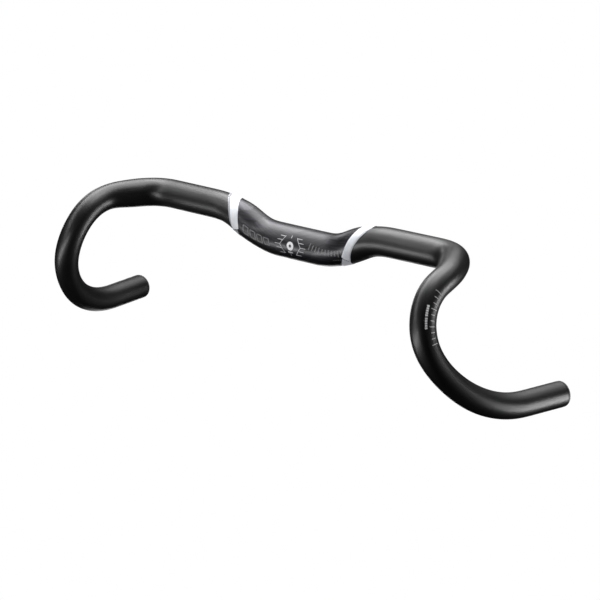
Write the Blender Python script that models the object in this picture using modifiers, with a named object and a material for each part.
"""Drop handlebar for a bicycle: a flared carbon bar with a 31.8 mm clamp zone.

Frame: X runs across the bicycle, -Y is forwards, +Z is up, and the origin is the centre of
the stem's clamp zone. Right is +X, as seen from in front. The bar is a centre section and
two side tubes, bonded over a sleeve at each joint. A strip of tape is wrapped over each joint,
and an expanding plug closes each end: a cap, a screw, a wedge nut and the slotted sleeve that
the nut spreads against the bore.
"""
import math
from collections import namedtuple

import bmesh
import bpy
from mathutils import Matrix, Vector

MM = 0.001
GAP = 0.3                               # between pieces that touch, mm
MERGE_DISTANCE = 0.00001                # m

# Centreline of the right half, mm: corners of the path, and the bend radius at each one.
CENTRE = (0.0, 0.0, 0.0)
BENDS = (
    ((46.0, 0.0, 0.0), 88.0),           # out of the clamp zone, upwards
    ((87.0, 0.0, 20.0), 98.0),          # on to the raised top
    ((185.5, 0.0, 20.5), 34.0),         # from the top into the forward ramp
    ((214.5, -43.5, 18.5), 40.0),       # straightens to run forwards
    ((214.5, -69.0, 10.0), 43.0),       # starts down at the lever's seat
    ((219.5, -95.0, -22.0), 47.0),      # front of the hook
    ((232.5, -80.0, -56.0), 79.0),      # back under the hook
    ((253.0, -43.5, -100.5), 104.0),    # into the flared drop
)
BAR_END = (266.0, 48.5, -100.5)

# Outer radius of the tube at distances along the centreline, mm.
OUTER_RADIUS = (
    (0.0, 15.9), (24.0, 15.9),          # clamp zone, diameter 31.8
    (48.0, 15.0), (70.0, 15.4),         # waist and shoulder of the rise
    (98.0, 13.7), (205.0, 13.7),        # tops and ramps
    (245.0, 12.0), (300.0, 11.7),       # lever's seat, diameter 24
    (345.0, 11.2), (400.0, 11.9),       # slim lower hook, then the drop's grip
    (500.0, 11.9),
)
WALL = 2.2
OUTER_SIDES = 24
INNER_SIDES = 16
BEND_STEP = math.radians(10.0)          # turn between two rings of a bend
STRAIGHT_STEP = 14.0                    # distance between two rings of a straight run
SHORTEST_STEP = 2.0

# Tape strips and the joints under them, each on a plane through the centreline at a distance
# from the clamp's centre. The plane's normal is the tube's direction, leaned back by `lean`
# down from the tube's top and by `turn` away from its front.
Joint = namedtuple("Joint", "distance lean turn")
JOINTS = {
    "right": Joint(72.0, 48.0, 9.5),
    "left": Joint(80.0, 31.5, -23.5),
}
TAPE_WIDTH = 7.8
TAPE_THICKNESS = 0.5
SLEEVE_REACH = 24.0                     # of the bonded sleeve, each way from the joint
SLEEVE_WALL = 1.6
SLAB_WIDTH = 90.0                       # of a box that cuts along a joint's plane
SLAB_REACH = 80.0

# Expanding plug, mm, on its own axis: 0 is the bar's end face and + is out of the bar.
CAP_THICKNESS = 3.0
CAP_SPIGOT_LENGTH = 6.0
CAP_SPIGOT_RADIUS = 9.2
CAP_INSET = 0.1                         # of its rim from the tube's skin
CAP_ROUNDING = (1.2, 0.35)              # width of the rim's rounding, and its depth at the middle
HEAD_RADIUS = 4.25
HEAD_LENGTH = 5.0
HEAD_BEVEL = 0.4
HEAD_RECESS = 0.6                       # the screw's head lies this far inside the cap's face
HEX_KEY = 4.0
HEX_DEPTH = 2.5
SCREW_RADIUS = 2.5
SCREW_LENGTH = 30.0                     # under the head
TIP_BEVEL = 0.6
EXPANDER_LENGTH = 16.0
EXPANDER_RADIUS = 9.2
EXPANDER_BEVEL = 0.5
EXPANDER_LIP_RADIUS = 7.7               # of the cone, where the nut goes in
EXPANDER_THROAT_RADIUS = 5.0            # of the cone, at the cap's end
EXPANDER_SLOT = 1.2
EXPANDER_SLOT_DEPTH = 11.0
NUT_LENGTH = 10.0                       # of its cone
NUT_COLLAR = 1.5                        # straight length behind the cone
NUT_BEVEL = 0.8
TURN_STEPS = 32

Segment = namedtuple("Segment", "length start heading inward radius")


# ---------------------------------------------------------------- scene and materials

def clear_scene():
    for item in list(bpy.data.objects):
        bpy.data.objects.remove(item, do_unlink=True)


def new_collection(name):
    collection = bpy.data.collections.new(name)
    bpy.context.scene.collection.children.link(collection)
    return collection


def new_material(name, colour, roughness, metallic=0.0):
    material = bpy.data.materials.new(name)
    material.use_nodes = True
    shader = material.node_tree.nodes["Principled BSDF"]
    shader.inputs["Base Color"].default_value = (*colour, 1.0)
    shader.inputs["Roughness"].default_value = roughness
    shader.inputs["Metallic"].default_value = metallic
    return material


# ---------------------------------------------------------------- centreline

def centreline_segments():
    """Straight runs and arcs of the right half, from the clamp's centre to the bar's end."""
    corners = [Vector(CENTRE)] + [Vector(corner) for corner, radius in BENDS] + [Vector(BAR_END)]
    segments = []
    here = corners[0]
    for index, (corner, radius) in enumerate(BENDS, start=1):
        before = (corners[index - 1] - corners[index]).normalized()
        after = (corners[index + 1] - corners[index]).normalized()
        half_angle = before.angle(after) / 2
        arc_start = corners[index] + before * radius / math.tan(half_angle)
        arc_end = corners[index] + after * radius / math.tan(half_angle)
        centre = corners[index] + (before + after).normalized() * radius / math.sin(half_angle)
        segments.append(Segment((arc_start - here).length, here, -before, Vector(), None))
        turn = math.pi - 2 * half_angle
        inward = (centre - arc_start).normalized()
        segments.append(Segment(radius * turn, arc_start, -before, inward, radius))
        here = arc_end
    run = corners[-1] - here
    segments.append(Segment(run.length, here, run.normalized(), Vector(), None))
    return segments


SEGMENTS = centreline_segments()
HALF_LENGTH = sum(segment.length for segment in SEGMENTS)


def locate(distance):
    """Point and direction on the right half's centreline, in mm."""
    along = distance
    for segment in SEGMENTS:
        if along <= segment.length:
            break
        along -= segment.length
    if segment.radius is None:
        return segment.start + segment.heading * along, segment.heading.copy()
    angle = along / segment.radius
    point = (segment.start + segment.heading * segment.radius * math.sin(angle)
             + segment.inward * segment.radius * (1 - math.cos(angle)))
    heading = segment.heading * math.cos(angle) + segment.inward * math.sin(angle)
    return point, heading


def stations(first, last):
    """Distances of the rings between two places: close together in bends, spread on straights."""
    rings = []
    start = 0.0
    for segment in SEGMENTS:
        if segment.radius is None:
            count = math.ceil(segment.length / STRAIGHT_STEP)
        else:
            count = math.ceil(segment.length / segment.radius / BEND_STEP)
        rings += [start + segment.length * step / count for step in range(count)]
        start += segment.length
    kept = [ring for ring in rings if first + SHORTEST_STEP < ring < last - SHORTEST_STEP]
    spaced = [first]
    for ring in kept:
        if ring - spaced[-1] >= SHORTEST_STEP:
            spaced.append(ring)
    return spaced + [last]


def outer_radius(distance):
    for (start, before), (end, after) in zip(OUTER_RADIUS, OUTER_RADIUS[1:]):
        if distance <= end:
            share = (distance - start) / (end - start)
            return before + (after - before) * share * share * (3 - 2 * share)
    return OUTER_RADIUS[-1][1]


def bore_radius(distance):
    return outer_radius(distance) - WALL


def on_side(point, side):
    """A right-half point, or its mirror image on the left."""
    return Vector((point[0] * (1 if side == "right" else -1), point[1], point[2]))


def side_route(side, first, last, radius_of):
    return [(on_side(locate(ring)[0], side), radius_of(ring)) for ring in stations(first, last)]


# ---------------------------------------------------------------- pieces from curves

def link_mesh(name, mesh, collection, material=None):
    piece = bpy.data.objects.new(name, mesh)
    collection.objects.link(piece)
    if material:
        mesh.materials.clear()
        mesh.materials.append(material)
    return piece


def tube(name, route, sides, collection, material=None):
    """A closed round bar along a route of (point, radius), made from a bevelled curve."""
    curve = bpy.data.curves.new(name + "_path", "CURVE")
    curve.dimensions = "3D"
    curve.twist_mode = "MINIMUM"
    curve.bevel_depth = MM
    curve.bevel_resolution = (sides - 4) // 2
    curve.use_fill_caps = True
    spline = curve.splines.new("POLY")
    spline.points.add(len(route) - 1)
    for control, (point, radius) in zip(spline.points, route):
        control.co = (*(point * MM), 1.0)
        control.radius = radius
    guide = bpy.data.objects.new(name + "_path", curve)
    collection.objects.link(guide)
    bpy.context.view_layer.update()
    depsgraph = bpy.context.evaluated_depsgraph_get()
    mesh = bpy.data.meshes.new_from_object(guide.evaluated_get(depsgraph))
    mesh.name = name
    shape = bmesh.new()
    shape.from_mesh(mesh)
    bmesh.ops.remove_doubles(shape, verts=shape.verts, dist=MERGE_DISTANCE)
    bmesh.ops.recalc_face_normals(shape, faces=shape.faces)
    shape.to_mesh(mesh)
    shape.free()
    piece = link_mesh(name, mesh, collection, material)
    piece.matrix_world = guide.matrix_world
    bpy.data.objects.remove(guide, do_unlink=True)
    bpy.data.curves.remove(curve)
    smooth(mesh)
    return piece


def smooth(mesh, angle=35.0):
    mesh.shade_smooth()
    mesh.set_sharp_from_angle(angle=math.radians(angle))


def as_cutter(piece):
    piece.hide_render = True
    piece.display_type = "WIRE"
    return piece


def cut(piece, cutter, operation="DIFFERENCE"):
    boolean = piece.modifiers.new(f"{operation.lower()}_{cutter.name}", "BOOLEAN")
    boolean.operation = operation
    boolean.object = as_cutter(cutter)
    boolean.solver = "EXACT"


# ---------------------------------------------------------------- joint planes

def joint_matrix(side):
    """Place of a joint: its centre, with Z square to its plane and pointing towards the end."""
    joint = JOINTS[side]
    point, heading = locate(joint.distance)
    upward = (Vector((0, 0, 1)) - heading * heading.z).normalized()
    forward = heading.cross(upward)
    normal = (heading - upward * math.tan(math.radians(joint.lean))
              - forward * math.tan(math.radians(joint.turn)))
    turned = on_side(normal.normalized(), side).to_track_quat("Z", "Y")
    return Matrix.Translation(on_side(point, side) * MM) @ turned.to_matrix().to_4x4()


def slab_cutter(name, side, low, high, collection):
    """A wide box between two heights above a joint's plane, in mm."""
    mesh = bpy.data.meshes.new(name)
    shape = bmesh.new()
    bmesh.ops.create_cube(shape, size=1.0)
    size = (SLAB_WIDTH * MM, SLAB_WIDTH * MM, (high - low) * MM)
    bmesh.ops.scale(shape, verts=shape.verts, vec=size)
    bmesh.ops.translate(shape, verts=shape.verts, vec=(0, 0, (low + high) / 2 * MM))
    shape.to_mesh(mesh)
    shape.free()
    cutter = link_mesh(name, mesh, collection)
    cutter.matrix_world = joint_matrix(side)
    return cutter


# ---------------------------------------------------------------- turned pieces

def turned(name, profile, closed, steps, collection, material=None):
    """A piece turned about its own Z from a profile of (radius, height) in mm."""
    mesh = bpy.data.meshes.new(name)
    count = len(profile)
    edges = [(index, (index + 1) % count) for index in range(count if closed else count - 1)]
    mesh.from_pydata([(radius * MM, 0.0, height * MM) for radius, height in profile], edges, [])
    piece = link_mesh(name, mesh, collection, material)
    screw = piece.modifiers.new("turn", "SCREW")
    screw.axis = "Z"
    screw.steps = steps
    screw.render_steps = steps
    screw.use_merge_vertices = True
    screw.merge_threshold = MERGE_DISTANCE
    screw.use_smooth_shade = True
    screw.use_normal_calculate = False
    return piece


def end_matrix(side):
    """Place of a bar end: Z points out of the bar along its axis."""
    point, heading = locate(HALF_LENGTH)
    outward = on_side(heading, side).to_track_quat("Z", "Y")
    return Matrix.Translation(on_side(point, side) * MM) @ outward.to_matrix().to_4x4()


# ---------------------------------------------------------------- the bar

def make_centre_section(parts, cutters, material):
    reach = JOINTS["left"].distance + SLEEVE_REACH
    rings = stations(0.0, reach)[1:]
    outline = [on_side(locate(ring)[0], "left") for ring in reversed(rings)]
    outline += [Vector(CENTRE)] + [locate(ring)[0] for ring in rings]
    distances = list(reversed(rings)) + [0.0] + rings
    outer = [(point, outer_radius(ring)) for point, ring in zip(outline, distances)]
    inner = [(point, bore_radius(ring)) for point, ring in zip(outline, distances)]
    section = tube("centre_section", outer, OUTER_SIDES, parts, material)
    bore = tube("centre_bore", inner, INNER_SIDES, cutters)
    cut(section, bore)
    for side in JOINTS:
        cut(section, slab_cutter(f"centre_trim_{side}", side, -GAP / 2, SLAB_REACH, cutters))
    return section


def make_side_tube(side, parts, cutters, material):
    first = JOINTS[side].distance - SLEEVE_REACH
    piece = tube(f"side_tube_{side}", side_route(side, first, HALF_LENGTH, outer_radius),
                 OUTER_SIDES, parts, material)
    route = side_route(side, first, HALF_LENGTH, bore_radius)
    end_point, heading = locate(HALF_LENGTH)
    beyond = on_side(end_point + heading * STRAIGHT_STEP, side)
    bore = tube(f"side_bore_{side}", route + [(beyond, bore_radius(HALF_LENGTH))],
                INNER_SIDES, cutters)
    cut(piece, bore)
    cut(piece, slab_cutter(f"side_trim_{side}", side, -SLAB_REACH, GAP / 2, cutters))
    return piece


def make_joint_sleeve(side, parts, cutters, material):
    first = JOINTS[side].distance - SLEEVE_REACH
    last = JOINTS[side].distance + SLEEVE_REACH
    flat_of_bore = math.cos(math.pi / INNER_SIDES)

    def sleeve_radius(distance):
        return bore_radius(distance) * flat_of_bore - GAP

    piece = tube(f"joint_sleeve_{side}", side_route(side, first, last, sleeve_radius),
                 INNER_SIDES, parts, material)
    route = side_route(side, first, last, lambda distance: sleeve_radius(distance) - SLEEVE_WALL)
    start, start_heading = locate(first)
    end, end_heading = locate(last)
    before = (on_side(start - start_heading * SHORTEST_STEP, side), route[0][1])
    after = (on_side(end + end_heading * SHORTEST_STEP, side), route[-1][1])
    cut(piece, tube(f"sleeve_bore_{side}", [before] + route + [after], INNER_SIDES, cutters))
    return piece


def make_tape_band(side, parts, cutters, material):
    first = JOINTS[side].distance - SLEEVE_REACH
    last = JOINTS[side].distance + SLEEVE_REACH
    piece = tube(f"tape_band_{side}",
                 side_route(side, first, last, lambda ring: outer_radius(ring) + GAP + TAPE_THICKNESS),
                 OUTER_SIDES, parts, material)
    cut(piece, tube(f"tape_bore_{side}",
                    side_route(side, first, last, lambda ring: outer_radius(ring) + GAP),
                    OUTER_SIDES, cutters))
    cut(piece, slab_cutter(f"tape_edges_{side}", side, -TAPE_WIDTH / 2, TAPE_WIDTH / 2, cutters),
        "INTERSECT")
    return piece


# ---------------------------------------------------------------- the plug

def make_end_cap(side, parts, material):
    rim = outer_radius(HALF_LENGTH) - CAP_INSET
    rounding, rounding_middle = CAP_ROUNDING
    hole = SCREW_RADIUS + GAP
    counterbore = HEAD_RADIUS + GAP
    seat = CAP_THICKNESS - HEAD_RECESS - HEAD_LENGTH - GAP
    profile = [
        (counterbore, CAP_THICKNESS), (rim - rounding, CAP_THICKNESS),
        (rim - rounding_middle, CAP_THICKNESS - rounding_middle),
        (rim, CAP_THICKNESS - rounding), (rim, GAP),
        (CAP_SPIGOT_RADIUS, GAP), (CAP_SPIGOT_RADIUS, -CAP_SPIGOT_LENGTH),
        (hole, -CAP_SPIGOT_LENGTH), (hole, seat), (counterbore, seat),
    ]
    piece = turned(f"end_cap_{side}", profile, True, TURN_STEPS, parts, material)
    piece.matrix_world = end_matrix(side)
    return piece


def make_plug_screw(side, parts, cutters, material):
    top = CAP_THICKNESS - HEAD_RECESS
    under = top - HEAD_LENGTH
    profile = [
        (0.0, top), (HEAD_RADIUS - HEAD_BEVEL, top), (HEAD_RADIUS, top - HEAD_BEVEL),
        (HEAD_RADIUS, under), (SCREW_RADIUS, under),
        (SCREW_RADIUS, under - SCREW_LENGTH + TIP_BEVEL),
        (SCREW_RADIUS - TIP_BEVEL, under - SCREW_LENGTH), (0.0, under - SCREW_LENGTH),
    ]
    piece = turned(f"plug_screw_{side}", profile, False, TURN_STEPS, parts, material)
    piece.matrix_world = end_matrix(side)
    mesh = bpy.data.meshes.new(f"hex_socket_{side}")
    shape = bmesh.new()
    across_corners = HEX_KEY / math.cos(math.radians(30.0))
    bmesh.ops.create_cone(shape, cap_ends=True, segments=6, radius1=across_corners / 2 * MM,
                          radius2=across_corners / 2 * MM, depth=2 * HEX_DEPTH * MM)
    bmesh.ops.translate(shape, verts=shape.verts, vec=(0, 0, top * MM))
    shape.to_mesh(mesh)
    shape.free()
    socket = link_mesh(f"hex_socket_{side}", mesh, cutters)
    socket.matrix_world = end_matrix(side)
    cut(piece, socket)
    return piece


def cone_radius(height):
    """Radius of the expander's cone at a height below the bar's end face."""
    outer_end = -CAP_SPIGOT_LENGTH - GAP
    share = (outer_end - height) / EXPANDER_LENGTH
    return EXPANDER_THROAT_RADIUS + (EXPANDER_LIP_RADIUS - EXPANDER_THROAT_RADIUS) * share


def make_expander(side, parts, cutters, material):
    top = -CAP_SPIGOT_LENGTH - GAP
    bottom = top - EXPANDER_LENGTH
    profile = [
        (cone_radius(top), top), (EXPANDER_RADIUS - EXPANDER_BEVEL, top),
        (EXPANDER_RADIUS, top - EXPANDER_BEVEL),
        (EXPANDER_RADIUS, bottom), (cone_radius(bottom), bottom),
    ]
    piece = turned(f"expander_{side}", profile, True, TURN_STEPS, parts, material)
    piece.matrix_world = end_matrix(side)
    for index in range(2):
        mesh = bpy.data.meshes.new(f"expander_slot_{side}_{index}")
        shape = bmesh.new()
        bmesh.ops.create_cube(shape, size=1.0)
        size = (EXPANDER_SLOT * MM, 3 * EXPANDER_RADIUS * MM, 2 * EXPANDER_SLOT_DEPTH * MM)
        bmesh.ops.scale(shape, verts=shape.verts, vec=size)
        bmesh.ops.translate(shape, verts=shape.verts, vec=(0, 0, bottom * MM))
        shape.to_mesh(mesh)
        shape.free()
        slot = link_mesh(f"expander_slot_{side}_{index}", mesh, cutters)
        quarter_turn = Matrix.Rotation(math.radians(45.0 + 90.0 * index), 4, "Z")
        slot.matrix_world = end_matrix(side) @ quarter_turn
        cut(piece, slot)
    return piece


def make_wedge_nut(side, parts, material):
    hole = SCREW_RADIUS + GAP
    bottom = -CAP_SPIGOT_LENGTH - GAP - EXPANDER_LENGTH
    top = bottom + NUT_LENGTH
    flat_of_cone = math.cos(math.pi / TURN_STEPS)
    top_radius = cone_radius(top) * flat_of_cone - GAP
    collar_radius = cone_radius(bottom) * flat_of_cone - GAP
    collar_end = bottom - NUT_COLLAR
    profile = [
        (hole, top), (top_radius, top), (collar_radius, bottom), (collar_radius, collar_end),
        (collar_radius - NUT_BEVEL, collar_end - NUT_BEVEL), (hole, collar_end - NUT_BEVEL),
    ]
    piece = turned(f"wedge_nut_{side}", profile, True, TURN_STEPS, parts, material)
    piece.matrix_world = end_matrix(side)
    return piece


def main():
    clear_scene()
    parts = new_collection("drop_handlebar")
    cutters = new_collection("cutters")
    carbon = new_material("carbon_clear_coat", (0.020, 0.019, 0.023), 0.28)
    satin = new_material("satin_black_carbon", (0.012, 0.012, 0.012), 0.42)
    bonded = new_material("bare_carbon", (0.030, 0.030, 0.032), 0.60)
    tape = new_material("white_tape", (0.80, 0.81, 0.84), 0.45)
    plastic = new_material("black_nylon", (0.015, 0.015, 0.015), 0.50)
    rubber = new_material("grey_rubber", (0.050, 0.050, 0.050), 0.75)
    alloy = new_material("plain_aluminium", (0.60, 0.60, 0.61), 0.35, 1.0)
    steel = new_material("blackened_steel", (0.050, 0.050, 0.052), 0.35, 1.0)

    make_centre_section(parts, cutters, carbon)
    for side in JOINTS:
        make_side_tube(side, parts, cutters, satin)
        make_joint_sleeve(side, parts, cutters, bonded)
        make_tape_band(side, parts, cutters, tape)
        make_end_cap(side, parts, plastic)
        make_plug_screw(side, parts, cutters, steel)
        make_expander(side, parts, cutters, rubber)
        make_wedge_nut(side, parts, alloy)


main()
